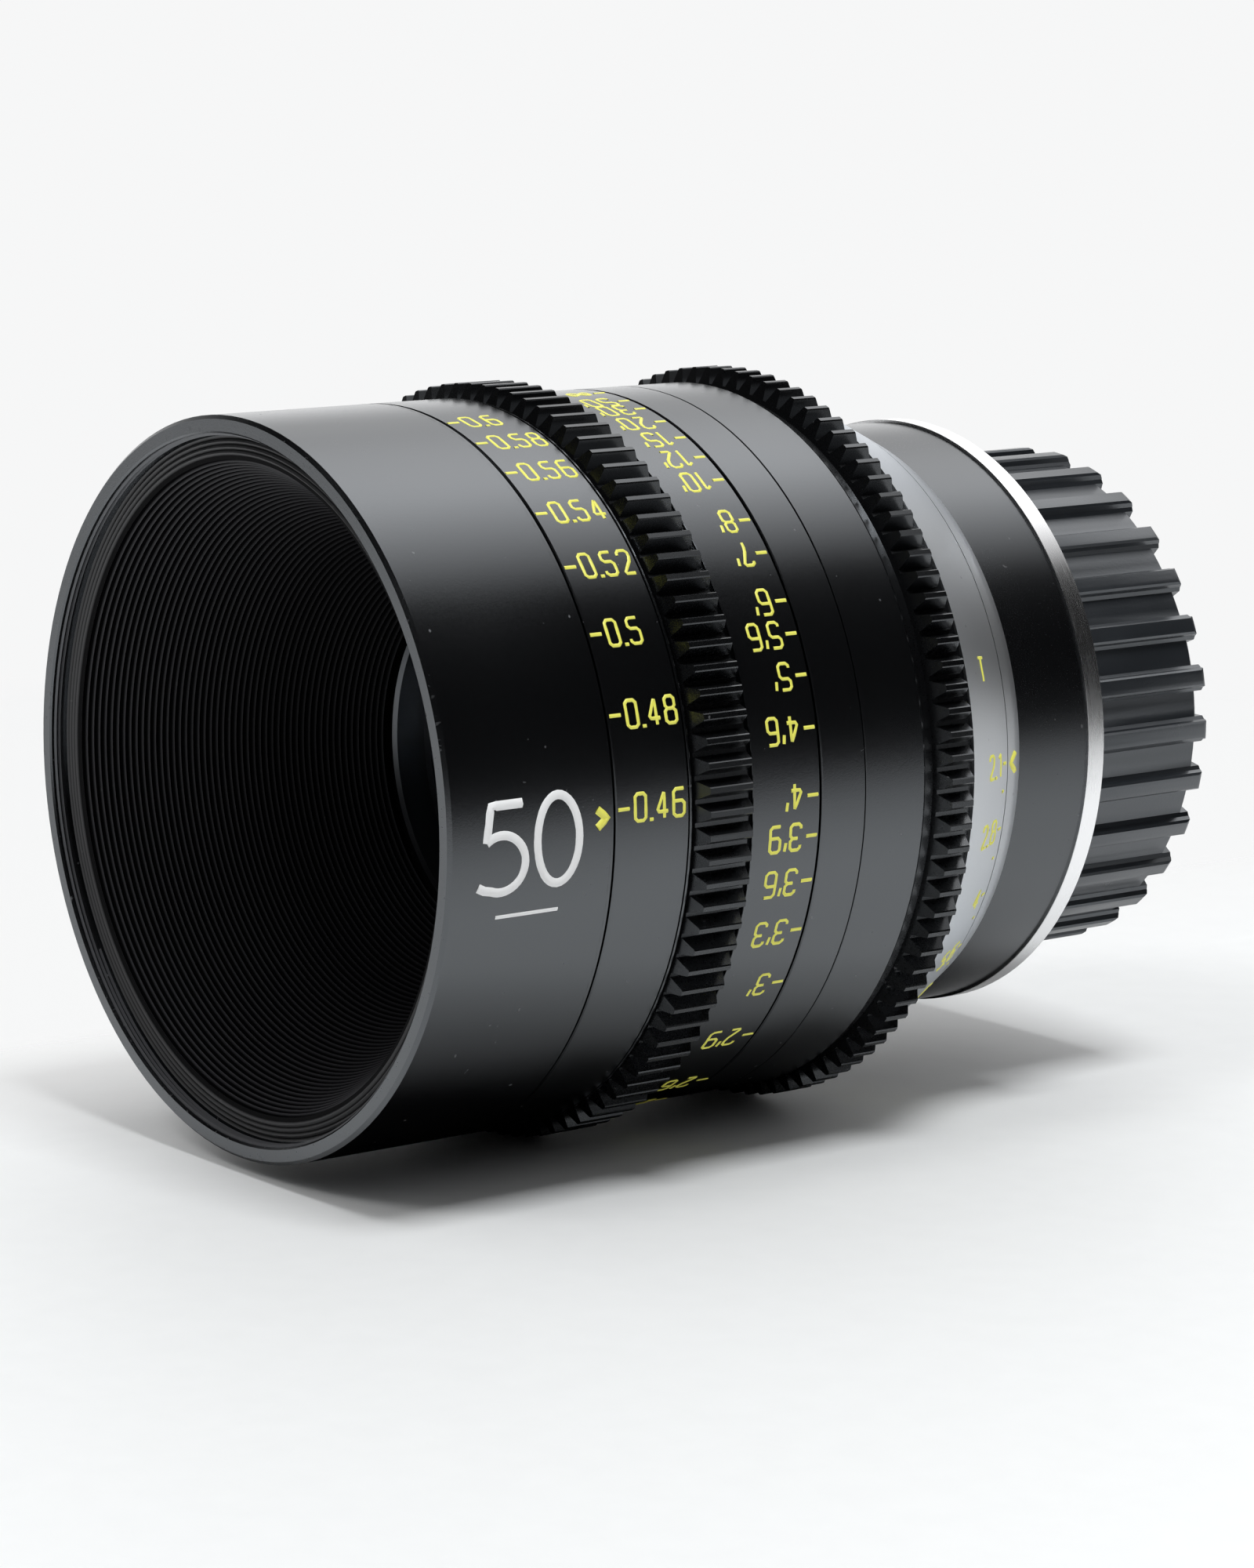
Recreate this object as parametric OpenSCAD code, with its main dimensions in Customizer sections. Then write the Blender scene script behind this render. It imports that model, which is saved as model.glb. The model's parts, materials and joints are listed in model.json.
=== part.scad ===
// Cinema prime lens. Optical axis along Y, front towards -Y, mount flange face at y = 0, +Z up.
// Angles round the axis run from +Z (0) over +X (90). Drawn focused close, iris open, rear cap on.

/* [Barrel] */
// Outside diameter of the barrel and of both rings
barrel_d = 80; // [79.8:0.1:80.4]
// Length from the front rim to the flange face
front_len = 93.6; // [93.4:0.1:95]
// Front edge of the focus ring, ahead of the flange
focus_from = 72.9; // [72.8:0.1:73]
// Rear edge of the focus ring, ahead of the flange
focus_to = 45.7; // [45.5:0.1:45.9]
// Front edge of the iris ring, ahead of the flange
iris_from = 39.6; // [39.4:0.1:39.8]
// Rear edge of the iris ring, ahead of the flange
iris_to = 15.6; // [15.4:0.1:15.7]
// Rear end of the index cone, ahead of the flange
cone_to = 12.6; // [12.4:0.1:12.8]
// Diameter at the rear end of the index cone
cone_d = 68; // [67.6:0.1:68.2]
// Diameter of the rear barrel
rear_d = 67.5; // [67.2:0.1:67.6]
// Width of the seams at both ends of the focus ring
seam = 0.3; // [0.2:0.05:0.4]
// Width of the seams at both ends of the iris ring
iris_seam = 0.15; // [0.1:0.05:0.3]
// Edge break on the outer edges
edge = 0.12; // [0.08:0.02:0.24]

/* [Front] */
// Minor diameter of the filter thread
filter_d = 76.2; // [76:0.1:76.4]
// Depth of the filter thread behind the rim
filter_depth = 1.9; // [1.6:0.1:2.2]
// Diameter at the mouth of the ribbed funnel
funnel_d0 = 70.3; // [69.5:0.1:70.5]
// Pitch of the funnel's ribs along the axis
rib_pitch = 0.62; // [0.58:0.01:0.62]
// Number of ribs in the funnel
rib_count = 49; // [40:1:49]
// Depth of the grooves between the ribs
rib_depth = 0.36; // [0.2:0.02:0.4]
// Drop in radius for each millimetre along the funnel
funnel_slope = 0.505; // [0.49:0.005:0.51]

/* [Gears] */
// Number of teeth on each gear
teeth = 102; // [100:1:104]
// Front end of the focus gear, ahead of the flange
focus_gear_from = 62.9; // [62.7:0.1:63.2]
// Length of the focus gear at its root
focus_gear_len = 8; // [7.8:0.1:8.2]
// Front end of the iris gear, ahead of the flange
iris_gear_from = 31.2; // [31:0.1:31.6]
// Length of the iris gear at its root
iris_gear_len = 7.1; // [7:0.1:7.2]
// Length of the bevel at each end of the teeth
tooth_bevel = 0.9; // [0.7:0.05:1]
// Width of the chamfers along the tips of the teeth
tooth_chamfer = 0.12; // [0.08:0.02:0.16]
// Width of the groove at each end of the focus gear
focus_groove = 0.3; // [0.2:0.05:0.4]
// Width of the groove ahead of the iris gear
iris_groove = 1.5; // [1.2:0.1:1.6]

/* [Motion] */
// Turn of the focus ring from its near stop to infinity
focus_turn = 270; // [240:5:280]
// Travel of the optical block over that turn
focus_travel = 7.1; // [6.5:0.1:7.1]
// Turn of the iris ring from open to closed
iris_turn = 75; // [70:1:78]
// Turn of each iris blade from open to closed
blade_turn = 31; // [28:1:33]
// Radial clearance of running fits
run = 0.05; // [0.03:0.01:0.08]

/* [Mount and cap] */
// Diameter of the mount flange
flange_d = 68.1; // [68:0.1:68.6]
// Thickness of the mount flange
flange_t = 2.25; // [2.15:0.05:2.35]
// Diameter of the bayonet tube
bayonet_d = 50; // [49.6:0.1:50.2]
// Diameter over the bayonet lugs
lug_d = 53.4; // [52.8:0.1:53.6]
// Length of the bayonet tube behind the flange
bayonet_len = 6.7; // [6.4:0.1:8]
// Diameter over the ribs of the rear cap
cap_d = 58.8; // [58.4:0.1:59.4]
// Length of the rear cap
cap_len = 20.5; // [19:0.1:22]
// Number of ribs round the rear cap
cap_ribs = 30; // [24:1:32]

/* [Hidden] */
$fn = 144;
barrel_r = barrel_d / 2;
y_rim = -front_len;
y_focus0 = -focus_from + seam / 2;
y_focus1 = -focus_to - seam / 2;
y_iris0 = -iris_from + iris_seam / 2;
y_iris1 = -iris_to - iris_seam / 2;
y_index = -iris_to + iris_seam / 2;
y_cone = -cone_to;
y_fgear0 = -focus_gear_from;
y_fgear1 = y_fgear0 + focus_gear_len;
y_igear0 = -iris_gear_from;
y_igear1 = y_igear0 + iris_gear_len;

// Edge breaks at the clamp-on front, at close seams and beside the gears
clamp_edge = 0.42;
fine_edge = 0.05;
land_edge = 0.3;

// Thin ridge at the rear end of the focus ring and the groove ahead of it
ridge = 0.3;
ridge_gap = 0.2;

// Ringed face at the bottom of the filter thread
y_face = y_rim + filter_depth;
face_r = filter_d / 2 - 0.4;

// Gear tooth sizes from the standard module of lens drives
gear_module = 0.8;
pitch_r = gear_module * teeth / 2;
tip_r = pitch_r + gear_module;
root_r = pitch_r - 1.25 * gear_module;
pressure = 20;
seat_r = root_r - 1.2;

// Scale cone, from the iris gear down to the rear end of the index cone
cone_r0 = root_r - 0.1;
cone_fall = (cone_r0 - cone_d / 2) / (y_cone - y_igear1);

// Turning fits and the main tube
bush_r = 37.5;
spigot_r = bush_r - 0.5;
ring_bore = bush_r + run;
tube_r0 = 30.4;
tube_r1 = 32.4;
nut_r = 35.05;
nut_y0 = -70;
nut_y1 = -48.6;
carrier_y0 = nut_y0;
carrier_y1 = -53;
cell_r = tube_r0 - 2 * run;
cell_bore = 28.3;
guide_y = -62;
guide_angles = [60, 180, 300];
pin_r = 1.5;
guide_end = pin_r + 0.4;

// Focus stop pin and its groove in the front spigot
stop_r = 35.8;
stop_pin_r = 0.5;
stop_angle = 30;
stop_margin = 1.3;

// Iris: blades, their levels, pivots and drive pins, and the key
blade_count = 12;
base_y = -39.8;
blade_y = -38.5;
blade_t = 0.12;
blade_step = 0.18;
blade_r0 = 13;
blade_r1 = 21.2;
blade_span = 117;
pivot_r = 22;
pivot_pin_r = 0.35;
arm_len = 6;
arm_angle = 43;
drive_pin_r = 0.22;
actuator_y = -36.2;
actuator_t = 1;
actuator_r = 28.1;
slot_steps = 24;
key_angle = 220;
key_y = -26;
prong_r0 = 27.2;
prong_end = key_y + 2.4;

// Mount and cap
y_flange0 = -flange_t - 0.05;
shim_t = 0.2;
lip_r = rear_d / 2 - 1;
recess_r = 30.6;
recess = 0.3;
screw_circle = 28.6;
lug_angles = [0, 120, 240];
cap_wall_r = cap_d / 2 - 1.15;
cap_bore = cap_wall_r - 0.8;
cap_round = 1.2;
cap_y0 = 0.05;
cap_y1 = cap_y0 + cap_len;

black = "#1d1d1f";
gloss_black = "#101012";
grey = "#4a4b4e";
silver = "#c9cacc";
brass = "#b08d4c";
bush_white = "#d9d7d0";
glass_tint = "#7f8fa8";
cap_black = "#2b2c2e";

function blade_name(i) = str("iris_blade_", i < 10 ? "0" : "", i);
function polar(r, a) = [r * cos(a), r * sin(a)];
function turn(p, a) = [p[0] * cos(a) - p[1] * sin(a), p[0] * sin(a) + p[1] * cos(a)];
function cone_radius(y) = cone_r0 - cone_fall * (y - y_igear1);
function funnel_radius(i) = funnel_d0 / 2 - funnel_slope * rib_pitch * i;
function funnel_y(i) = y_face + 0.4 + rib_pitch * i;
function half_tooth(r) = (PI * gear_module / 4 - (r - pitch_r) * tan(pressure)) / r * 180 / PI;

// A solid of revolution round the optical axis from a list of [radius, y]
module turned(profile) {
    rotate([-90, 0, 0])
        rotate_extrude()
            polygon(profile);
}

module ring(r0, r1, y0, y1) {
    turned([[r0, y0], [r1, y0], [r1, y1], [r0, y1]]);
}

// Part of a ring, from one angle round the axis over a sweep
module sector(r0, r1, y0, y1, from, sweep) {
    rotate([-90, 0, 0])
        rotate([0, 0, from - 90])
            rotate_extrude(angle = sweep)
                polygon([[r0, y0], [r1, y0], [r1, y1], [r0, y1]]);
}

// A flat plate across the axis, drawn in 2D with its x axis at angle 90
module plate(y, t) {
    translate([0, y, 0])
        rotate([-90, 0, 0])
            linear_extrude(t)
                children();
}

module radial_pin(a, y, r, r0, r1) {
    translate([0, y, 0])
        rotate([0, a, 0])
            translate([0, 0, r0])
                cylinder(r = r, h = r1 - r0);
}

module axial_pin(a, circle_r, r, y0, y1) {
    translate([circle_r * sin(a), y0, circle_r * cos(a)])
        rotate([-90, 0, 0])
            cylinder(r = r, h = y1 - y0);
}

// A box that lies along the axis at an angle round it
module radial_box(a, width, y0, y1, r0, r1) {
    rotate([0, a, 0])
        translate([-width / 2, y0, r0])
            cube([width, y1 - y0, r1 - r0]);
}

// A glass element: vertices at y0 and y1, a positive radius has its centre towards the rear
module lens(r, y0, y1, curve0, curve1) {
    long = 12;
    difference() {
        intersection() {
            ring_disc(r, y0, y1 + (curve1 > 0 ? long : 0));
            if (curve0 > 0) ball(y0 + curve0, curve0);
            if (curve1 < 0) ball(y1 + curve1, -curve1);
        }
        if (curve0 < 0) ball(y0 + curve0, -curve0);
        if (curve1 > 0) ball(y1 + curve1, curve1);
    }
}

module ring_disc(r, y0, y1) {
    translate([0, y0, 0])
        rotate([-90, 0, 0])
            cylinder(r = r, h = y1 - y0);
}

module ball(y, r) {
    translate([0, y, 0])
        rotate([-90, 0, 0])
            sphere(r = r);
}

// Teeth with chamfered tips, drawn past the tip circle that cuts them off
module gear_outline() {
    over = 0.2;
    flank_r = tip_r - tooth_chamfer;
    root_half = half_tooth(root_r);
    flank_half = half_tooth(flank_r);
    over_half = flank_half - (tooth_chamfer + over) / tip_r * 180 / PI;
    polygon([for (i = [0:teeth - 1])
        for (p = [[root_r, -root_half], [flank_r, -flank_half], [tip_r + over, -over_half],
                  [tip_r + over, over_half], [flank_r, flank_half], [root_r, root_half]])
            polar(p[0], 360 * i / teeth + p[1])]);
}

module gear(y0, y1, groove0, groove1) {
    groove_r = root_r - 0.5;
    intersection() {
        plate(y0, y1 - y0) gear_outline();
        turned([[seat_r, y0], [groove_r, y0], [groove_r, y0 + groove0], [tip_r, y0 + groove0 + tooth_bevel],
                [tip_r, y1 - groove1 - tooth_bevel], [groove_r, y1 - groove1], [groove_r, y1], [seat_r, y1]]);
    }
}

// Fixed barrel

module front_barrel() {
    web_y0 = -79.5;
    web_y1 = -76.9;
    y1 = -focus_from - seam / 2;
    color(black)
        difference() {
            turned([[filter_d / 2 + 0.2, y_rim], [barrel_r - 0.4, y_rim], [barrel_r, y_rim + 0.4],
                    [barrel_r, y1 - clamp_edge], [barrel_r - clamp_edge, y1], [38.4, y1], [38.4, web_y1],
                    [33, web_y1], [33, web_y0], [37, web_y0], [37, y_face + 1.5], [face_r, y_face + 1.5],
                    [face_r, y_face], [filter_d / 2, y_face], [filter_d / 2, y_rim + 0.2]]);
            for (a = [45:90:315]) axial_pin(a, 34, 0.7, -79, -76);
        }
}

module front_baffle() {
    face_pitch = 0.6;
    last = rib_count;
    wall = 1.5;
    face = [for (j = [0:3]) each [
        [face_r - face_pitch * j, y_face],
        [face_r - face_pitch * (j + 0.5), y_face + 0.25]]];
    funnel = [for (i = [0:last - 1]) each [
        [funnel_radius(i), funnel_y(i)],
        [funnel_radius(i + 0.5) + rib_depth, funnel_y(i + 0.5)]]];
    back = [
        [funnel_radius(last), funnel_y(last)],
        [funnel_radius(last) + wall, funnel_y(last)],
        [funnel_radius(0) + wall, funnel_y(0) + 1.1],
        [face_r, y_face + 1.5]];
    color(black)
        turned(concat(face, funnel, back));
}

module main_tube() {
    flange_y0 = -76.9;
    flange_y1 = -73.05;
    color(black)
        difference() {
            turned([[tube_r0, flange_y0], [38.4, flange_y0], [38.4, flange_y1], [spigot_r, flange_y1],
                    [spigot_r, nut_y0 - seam], [33.5, nut_y0 - seam], [33.5, flange_y1], [tube_r1, flange_y1],
                    [tube_r1, -7.9], [tube_r0, -7.9]]);
            for (a = guide_angles)
                radial_box(a, 2 * (pin_r + run), guide_y - guide_end, guide_y + focus_travel + guide_end,
                           29, 34);
            sector(stop_r - stop_pin_r - 0.3, stop_r + stop_pin_r + 0.3, -72.35, nut_y0,
                   stop_angle - stop_margin, focus_turn + 2 * stop_margin);
            sector(29, 34, key_y - pin_r - 0.1, key_y + pin_r + 0.1, key_angle - iris_turn, iris_turn);
            for (a = [key_angle - iris_turn, key_angle]) radial_pin(a, key_y, pin_r + 0.1, 29, 34);
            for (a = [45:90:315]) {
                axial_pin(a, 34, 0.7, -77.5, -74);
                axial_pin(a, 34, 1, -74.9, -69);
            }
        }
}

module barrel_screws() {
    color(grey)
        for (a = [45:90:315])
            difference() {
                union() {
                    axial_pin(a, 34, 0.7, -79, -74.5);
                    axial_pin(a, 34, 1, -74.9, -73.6);
                }
                axial_pin(a, 34, 0.5, -74.3, -73, $fn = 6);
            }
}

module mid_barrel() {
    y0 = -focus_to + seam / 2;
    y1 = -iris_from - iris_seam / 2;
    color(black)
        turned([[barrel_r - edge, y0], [barrel_r, y0 + edge], [barrel_r, y1 - fine_edge],
                [barrel_r - fine_edge, y1], [spigot_r, y1], [spigot_r, -36.8], [35.4, -36.8], [35.4, -40.2],
                [tube_r1, -40.2], [tube_r1, -45.2], [35.4, -45.2], [35.4, nut_y1 + seam],
                [spigot_r, nut_y1 + seam], [spigot_r, y0]]);
}

module rear_barrel() {
    y1 = y_flange0 - shim_t;
    color(black)
        difference() {
            turned([[tube_r1, y_index], [cone_radius(y_index), y_index], [cone_d / 2, y_cone],
                    [rear_d / 2, y_cone + 0.25], [rear_d / 2, y_flange0], [lip_r, y_flange0], [lip_r, y1],
                    [27, y1], [27, -7.9], [tube_r1, -7.9]]);
            for (a = [45:90:315]) axial_pin(a, screw_circle, 0.9, -6.5, 0);
        }
}

// Lens mount

module mount_shim() {
    color(silver)
        difference() {
            ring(27, lip_r, y_flange0 - shim_t, y_flange0);
            for (a = [45:90:315]) axial_pin(a, screw_circle, 0.9, -4, 0);
        }
}

module mount_ring() {
    tube_r = bayonet_d / 2;
    bore = tube_r - 1.4;
    rim = flange_d / 2;
    color(silver)
        difference() {
            union() {
                turned([[bore, y_flange0], [rim - fine_edge, y_flange0], [rim, y_flange0 + fine_edge],
                        [rim, -fine_edge], [rim - fine_edge, 0], [recess_r, 0], [recess_r, -recess],
                        [tube_r, -recess], [tube_r, bayonet_len - 0.3], [tube_r - 0.3, bayonet_len],
                        [bore, bayonet_len]]);
                for (a = lug_angles) sector(tube_r - 0.5, lug_d / 2, 2.9, 4.4, a - 25, 50);
            }
            for (a = [45:90:315]) {
                axial_pin(a, screw_circle, 0.9, -4, 0);
                axial_pin(a, screw_circle, 1.6, -1.1, 1);
            }
        }
}

module mount_screws() {
    color(silver)
        for (a = [45:90:315])
            difference() {
                union() {
                    axial_pin(a, screw_circle, 0.9, -6.5, -0.7);
                    axial_pin(a, screw_circle, 1.6, -1.1, -recess);
                }
                for (cross = [0, 90])
                    translate([screw_circle * sin(a), -0.6, screw_circle * cos(a)])
                        rotate([0, cross, 0])
                            translate([-1, -0.15, -0.2])
                                cube([2, 1, 0.4]);
            }
}

module rear_baffle() {
    color(black)
        difference() {
            ring_disc(bayonet_d / 2 - 1.4, 4.6, 6.2);
            translate([-15, 4, -10.5])
                cube([30, 3, 21]);
        }
}

// Plain bearings under the two rings

module focus_bush_front() {
    color(bush_white) ring(spigot_r, bush_r, y_focus0 + 0.2, nut_y0 - seam);
}

module focus_bush_rear() {
    color(bush_white) ring(spigot_r, bush_r, nut_y1 + seam, y_focus1 - 0.2);
}

module iris_bush_front() {
    color(bush_white) ring(spigot_r, bush_r, y_iris0 + 0.2, -36.8);
}

module iris_bush_rear() {
    color(bush_white) ring(tube_r1, 33.5, -20, -16.2);
}

// Focus ring and its helicoid nut

module focus_ring() {
    y_ridge = y_fgear0 - ridge;
    y_land = y_ridge - ridge_gap;
    color(black)
        difference() {
            turned([[ring_bore, y_focus0], [barrel_r - edge, y_focus0], [barrel_r, y_focus0 + edge],
                    [barrel_r, y_land - fine_edge], [barrel_r - fine_edge, y_land], [root_r - 0.3, y_land],
                    [root_r - 0.3, y_ridge], [barrel_r - fine_edge, y_ridge],
                    [barrel_r, y_ridge + fine_edge], [barrel_r, y_fgear0 - 2 * fine_edge],
                    [barrel_r - fine_edge, y_fgear0], [seat_r, y_fgear0], [seat_r, y_focus1],
                    [ring_bore, y_focus1]]);
            for (a = guide_angles) radial_pin(a, -59.15, 0.8, 36, 39);
        }
}

module focus_gear() {
    color(gloss_black) gear(y_fgear0, y_fgear1, focus_groove, focus_groove);
}

module focus_rear_band() {
    color(black)
        turned([[seat_r, y_fgear1], [barrel_r - fine_edge, y_fgear1], [barrel_r, y_fgear1 + fine_edge],
                [barrel_r, y_focus1 - edge], [barrel_r - edge, y_focus1], [seat_r, y_focus1]]);
}

module helicoid_nut() {
    color(brass)
        difference() {
            ring(nut_r, ring_bore, nut_y0, nut_y1);
            for (a = guide_angles) radial_pin(a, -59.15, 0.8, 34, 39);
            axial_pin(stop_angle, stop_r, stop_pin_r, -71, -68);
        }
}

module nut_screws() {
    color(grey)
        for (a = guide_angles)
            difference() {
                radial_pin(a, -59.15, 0.8, nut_r + 0.4, seat_r - 0.2);
                radial_pin(a, -59.15, 0.45, seat_r - 1, 39, $fn = 6);
            }
}

module focus_stop_pin() {
    color(silver) axial_pin(stop_angle, stop_r, stop_pin_r, -72, -68);
}

// Iris ring, gear, scale cone and the key that reaches the actuator

module iris_ring() {
    color(black)
        difference() {
            turned([[ring_bore, y_iris0], [barrel_r - fine_edge, y_iris0], [barrel_r, y_iris0 + fine_edge],
                    [barrel_r, y_igear0 - land_edge], [barrel_r - land_edge / 2, y_igear0],
                    [seat_r, y_igear0], [seat_r, y_igear1], [36.6, y_igear1], [36.6, -36], [ring_bore, -36]]);
            radial_pin(key_angle, key_y, pin_r, 36, 38);
        }
}

module iris_gear() {
    color(gloss_black) gear(y_igear0, y_igear1, iris_groove, iris_groove / 2);
}

module iris_cone() {
    bore = 33.5 + run;
    color(black)
        turned([[36.6, y_igear1], [cone_r0, y_igear1], [cone_radius(y_iris1), y_iris1], [bore, y_iris1],
                [bore, -20.4], [35.4, -22.2], [36.6, -22.2]]);
}

module iris_key() {
    color(silver) radial_pin(key_angle, key_y, pin_r, 26.9, 38);
}

// Optical block: carrier, cells and glass

module helicoid_carrier() {
    color(brass)
        difference() {
            ring(tube_r1 + run, nut_r - run, carrier_y0, carrier_y1);
            for (a = guide_angles) radial_pin(a, guide_y, pin_r, 31, 36);
        }
}

module guide_pins() {
    color(silver)
        for (a = guide_angles) radial_pin(a, guide_y, pin_r, cell_bore + 0.2, nut_r - 0.3);
}

module lens_cell() {
    y0 = -66.5;
    y1 = -21.4;
    color(black)
        difference() {
            ring(cell_bore, cell_r, y0, y1);
            for (a = guide_angles) radial_pin(a, guide_y, pin_r, 27, 32);
            sector(27, 32, key_y - focus_travel - 1.9, key_y + 1.9, key_angle - iris_turn - 4, iris_turn + 8);
        }
}

module front_cell() {
    color(black)
        turned([[19.8, -59], [20.2, -59.4], [27.9, -59.4], [cell_bore, -59], [cell_bore, -39.9],
                [14.2, -39.9], [14.2, -40.4], [16.5, -40.4], [16.5, -51.31], [19.8, -51.31]]);
}

module front_retainer() {
    color(black) ring(18.6, 19.8, -55.3, -53.5);
}

module element_1() {
    color(glass_tint) lens(19.8, -58.6, -53.4, 36, 95);
}

module front_spacer() {
    color(black) ring(15.9, 16.5, -51.2, -46.4);
}

module element_2() {
    color(glass_tint) lens(16.5, -52.9, -45.1, 22, 200);
}

module element_3() {
    color(glass_tint)
        difference() {
            intersection() {
                ring_disc(16.5, -45.1, -40.4);
                ball(-45.1 + 200, 200);
            }
            ball(-43.9 + 24, 24);
        }
}

module iris_base() {
    color(black)
        difference() {
            ring(13.2, cell_bore, base_y, base_y + 1.2);
            for (i = [0:blade_count - 1])
                axial_pin(90 + 360 * i / blade_count, pivot_r, pivot_pin_r + run, base_y - 1, base_y + 2);
        }
}

module rear_cell() {
    color(black)
        turned([[13, -34.9], [20, -34.9], [20, -22.8], [cell_bore, -22.8], [cell_bore, -21.4], [19.5, -21.4],
                [19.5, -15], [15.5, -15], [15.5, -21.6], [15, -21.6], [15, -34], [13, -34]]);
}

module element_4() {
    color(glass_tint)
        difference() {
            ring_disc(15, -34, -29.4);
            ball(-30.8 - 24, 24);
        }
}

module element_5() {
    color(glass_tint)
        intersection() {
            ring_disc(15, -29.4, -23.4);
            ball(-23.4 - 30, 30);
        }
}

module rear_spacer() {
    color(black) ring(13.9, 15, -26.8, -21.7);
}

module element_6() {
    color(glass_tint) lens(15.5, -22.6, -17.6, 70, -55);
}

module rear_retainer() {
    color(black) ring(13.9, 15.5, -19.2, -17.2);
}

// Iris mechanism: a scroll plate with one slot for each blade, and the blades on rising levels

function drive_pin(t) = turn(
    [pivot_r, 0] + polar(arm_len, arm_angle + blade_turn * t), iris_turn * t);
function slot_side(t, w) = let (d = drive_pin(t + 0.002) - drive_pin(t - 0.002))
    drive_pin(t) + w / norm(d) * [-d[1], d[0]];

module scroll_slot() {
    reach = 0.012;
    half_w = drive_pin_r + 0.08;
    steps = [for (k = [0:slot_steps]) -reach + (1 + 2 * reach) * k / slot_steps];
    polygon(concat([for (t = steps) slot_side(t, half_w)],
                   [for (k = [slot_steps:-1:0]) slot_side(steps[k], -half_w)]));
}

module iris_actuator() {
    prong_y0 = actuator_y + actuator_t / 2;
    gap = pin_r + 0.1;
    color(grey) {
        plate(actuator_y, actuator_t)
            difference() {
                circle(r = actuator_r);
                circle(r = 20.5);
                for (i = [0:blade_count - 1]) rotate(360 * i / blade_count) scroll_slot();
            }
        difference() {
            intersection() {
                ring(prong_r0, actuator_r, prong_y0, prong_end);
                radial_box(key_angle, 9, prong_y0, prong_end, 20, 30);
            }
            radial_box(key_angle, 2 * gap, actuator_y + actuator_t, prong_end + 1, 20, 30);
        }
    }
}

module iris_blade(i) {
    y0 = blade_y + blade_step * (i - 1);
    y1 = y0 + blade_t;
    hinge = [pivot_r, 0];
    tail = hinge + polar(arm_len, arm_angle);
    color(grey)
        rotate([0, 360 * (i - 1) / blade_count, 0]) {
            sector(blade_r0, blade_r1, y0, y1, 88, blade_span);
            plate(y0, blade_t) translate(hinge) circle(r = 1.3);
            plate(y0, blade_t) translate(tail) circle(r = 0.7);
            plate(y0, blade_t)
                translate(hinge)
                    rotate(arm_angle)
                        translate([0, -0.7])
                            square([arm_len, 1.4]);
            plate(base_y + 0.1, y1 - base_y - 0.1) translate(hinge) circle(r = pivot_pin_r);
            plate(y0, actuator_y + actuator_t - 0.1 - y0) translate(tail) circle(r = drive_pin_r);
        }
}

// Rear cap, at the angle where its tabs pass between the bayonet lugs

module cap_ribs_outline() {
    half_base = 1.15;
    half_top = 1.05;
    flare = 0.35;
    chamfer = 0.25;
    over = 0.3;
    rib_r = cap_d / 2;
    foot_r = cap_wall_r - cap_round - 0.2;
    foot = half_base + flare;
    for (i = [0:cap_ribs - 1])
        rotate(360 * i / cap_ribs)
            polygon([[foot_r, -foot], [cap_wall_r, -foot], [cap_wall_r + flare, -half_base],
                     [rib_r - chamfer, -half_top], [rib_r + over, -half_top + chamfer + over],
                     [rib_r + over, half_top - chamfer - over], [rib_r - chamfer, half_top],
                     [cap_wall_r + flare, half_base], [cap_wall_r, foot], [foot_r, foot]]);
}

module rear_cap() {
    collar = 0.6;
    phase = 79.3;
    rib_r = cap_d / 2;
    neck_r = cap_wall_r - 0.4;
    y_collar = cap_y0 + 0.55;
    color(cap_black) {
        difference() {
            union() {
                intersection() {
                    rotate([0, phase - 90, 0])
                        plate(y_collar + collar / 2, cap_y1 - y_collar - collar / 2)
                            cap_ribs_outline();
                    turned([[0, cap_y0], [rib_r, cap_y0], [rib_r, cap_y1 - 0.7], [rib_r - 0.2, cap_y1 - 0.22],
                            [rib_r - 0.65, cap_y1], [0, cap_y1]]);
                }
                turned([[0, cap_y0], [neck_r, cap_y0], [neck_r, y_collar], [rib_r - 0.3, y_collar],
                        [rib_r - 0.1, y_collar + 0.2], [rib_r - 0.1, y_collar + collar],
                        [cap_wall_r, y_collar + 2 * collar], [cap_wall_r, cap_y1 - cap_round],
                        [cap_wall_r - cap_round, cap_y1], [0, cap_y1]]);
            }
            ring_disc(cap_bore, cap_y0 - 1, cap_y1 - 1.6);
            ring_disc(cap_wall_r - 4, cap_y1 - 0.4, cap_y1 + 1);
        }
        for (a = lug_angles) sector(bayonet_d / 2 + 0.4, cap_bore + 0.3, 1, 2.5, a + 40, 40);
    }
}

front_barrel();
front_baffle();
main_tube();
barrel_screws();
mid_barrel();
rear_barrel();
mount_shim();
mount_ring();
mount_screws();
rear_baffle();
focus_bush_front();
focus_bush_rear();
iris_bush_front();
iris_bush_rear();
focus_ring();
focus_gear();
focus_rear_band();
helicoid_nut();
nut_screws();
focus_stop_pin();
iris_ring();
iris_gear();
iris_cone();
iris_key();
helicoid_carrier();
guide_pins();
lens_cell();
front_cell();
front_retainer();
element_1();
front_spacer();
element_2();
element_3();
iris_base();
rear_cell();
element_4();
element_5();
rear_spacer();
element_6();
rear_retainer();
iris_actuator();
for (i = [1:blade_count])
    iris_blade(i);
rear_cap();
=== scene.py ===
# %% [markdown]
# # Dressing a cinema prime lens
#
# The CAD model already holds every piece of this lens at its real size: barrels, two geared
# rings, the ribbed funnel, glass, iris and the rear cap. What is left for Blender is what a
# solid can't hold: the black anodised skin, the painted scales, the fine thread in the mouth
# and the light of a small product studio. The optical axis runs along Y with the front of the
# lens towards -Y, and angles round the axis are counted from the top (0) over +X (90).

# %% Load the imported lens
import json
import math

import bpy
from mathutils import Matrix, Vector


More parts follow.
